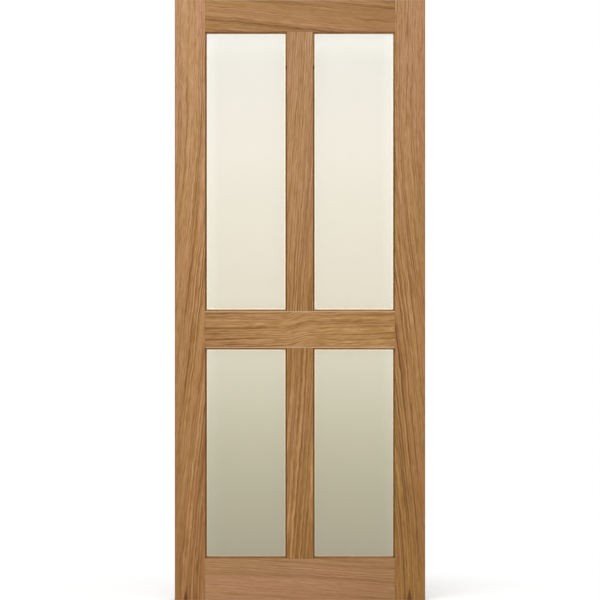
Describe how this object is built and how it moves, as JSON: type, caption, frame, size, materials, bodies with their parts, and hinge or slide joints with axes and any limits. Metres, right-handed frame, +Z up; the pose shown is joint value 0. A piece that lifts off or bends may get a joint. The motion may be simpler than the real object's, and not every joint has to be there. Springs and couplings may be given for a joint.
{
  "type": "glazed shaker door leaf",
  "caption": "Oak shaker door leaf with tall glazed lights over shorter ones, satin panes held by mitred beads on both faces; hangs from its hinge edge.",
  "frame": {"origin": "foot of the hinge edge, in the middle of the leaf's thickness; the left edge as pictured", "axes": "+X across the leaf from the hinge edge to the lock edge, +Y from the front face to the back, +Z up"},
  "size_m": [0.826, 0.035, 1.981],
  "materials": {
    "frame_oak": "sanded oak, matt lacquer",
    "bead_oak": "sanded oak, matt lacquer",
    "satin_glass": "satin toughened glass"
  },
  "bodies": {
    "root": {"bottom_rail": "frame_oak", "left_stile": "frame_oak", "lock_rail": "frame_oak", "lower_left_back_bottom_bead": "bead_oak", "lower_left_back_left_bead": "bead_oak", "lower_left_back_right_bead": "bead_oak", "lower_left_back_top_bead": "bead_oak", "lower_left_front_bottom_bead": "bead_oak", "lower_left_front_left_bead": "bead_oak", "lower_left_front_right_bead": "bead_oak", "lower_left_front_top_bead": "bead_oak", "lower_left_pane": "satin_glass", "lower_muntin": "frame_oak", "lower_right_back_bottom_bead": "bead_oak", "lower_right_back_left_bead": "bead_oak", "lower_right_back_right_bead": "bead_oak", "lower_right_back_top_bead": "bead_oak", "lower_right_front_bottom_bead": "bead_oak", "lower_right_front_left_bead": "bead_oak", "lower_right_front_right_bead": "bead_oak", "lower_right_front_top_bead": "bead_oak", "lower_right_pane": "satin_glass", "right_stile": "frame_oak", "top_rail": "frame_oak", "upper_left_back_bottom_bead": "bead_oak", "upper_left_back_left_bead": "bead_oak", "upper_left_back_right_bead": "bead_oak", "upper_left_back_top_bead": "bead_oak", "upper_left_front_bottom_bead": "bead_oak", "upper_left_front_left_bead": "bead_oak", "upper_left_front_right_bead": "bead_oak", "upper_left_front_top_bead": "bead_oak", "upper_left_pane": "satin_glass", "upper_muntin": "frame_oak", "upper_right_back_bottom_bead": "bead_oak", "upper_right_back_left_bead": "bead_oak", "upper_right_back_right_bead": "bead_oak", "upper_right_back_top_bead": "bead_oak", "upper_right_front_bottom_bead": "bead_oak", "upper_right_front_left_bead": "bead_oak", "upper_right_front_right_bead": "bead_oak", "upper_right_front_top_bead": "bead_oak", "upper_right_pane": "satin_glass"}
  },
  "joints": []
}
